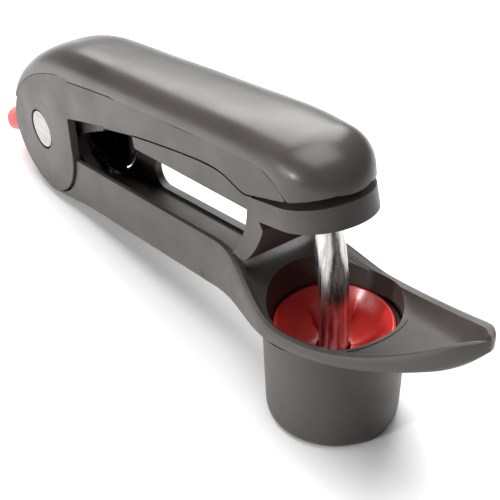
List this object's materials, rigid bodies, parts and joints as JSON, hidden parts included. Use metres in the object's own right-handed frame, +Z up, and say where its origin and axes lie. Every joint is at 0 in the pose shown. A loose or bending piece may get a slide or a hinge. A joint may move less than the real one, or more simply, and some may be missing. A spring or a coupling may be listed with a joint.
{
  "type": "cherry pitter",
  "caption": "Hand-held cherry and olive pitter: sprung lever drives a curved steel rod through a soft seat in a spouted bowl over an outlet cup.",
  "frame": {"origin": "centre of the bounding box in plan, on the table the tool stands on", "axes": "+X along the handle from the hinge to the spout, +Z up, +Y to the side with the open slot"},
  "size_m": [0.204, 0.0342, 0.0737],
  "materials": {
    "grey_plastic": "satin",
    "dark_plastic": "satin",
    "red_silicone": "satin",
    "red_plastic": "glossy",
    "bright_steel": "polished",
    "spring_steel": "satin",
    "white_nylon": "satin"
  },
  "bodies": {
    "lower": {"lower_body": "grey_plastic", "outlet_cup": "grey_plastic", "cherry_seat": "red_silicone", "seat_ring": "dark_plastic", "hinge_pin": "bright_steel", "pin_cap": "bright_steel", "hinge_washers": "white_nylon", "spring_sleeve": "white_nylon", "lever_spring": "spring_steel", "guard_spring": "spring_steel"},
    "lever": {"lever_frame": "grey_plastic", "lever_cover": "grey_plastic", "plunger": "bright_steel", "plunger_block": "dark_plastic", "block_screws": "spring_steel", "cover_screws": "spring_steel"},
    "guard": {"guard_arm": "grey_plastic", "rod_bush": "white_nylon"},
    "lock": {"lock_tab": "red_plastic"}
  },
  "joints": [
    {"name": "lever_hinge", "type": "hinge", "parent": "lower", "child": "lever", "pos_m": [-0.06692, 0, 0.0228], "axis": [0, -1, 0], "range_deg": [0, 30]},
    {"name": "guard_hinge", "type": "hinge", "parent": "lower", "child": "guard", "pos_m": [-0.06692, 0, 0.0228], "axis": [0, -1, 0], "range_deg": [0, 7.5]},
    {"name": "lock_slide", "type": "slide", "parent": "lower", "child": "lock", "axis": [-0.9833, 0, -0.1822], "range_m": [0, 0.003]}
  ],
  "couplings": [
    {"joint": "guard_hinge", "follows": "lever_hinge", "ratio": 0.25}
  ]
}
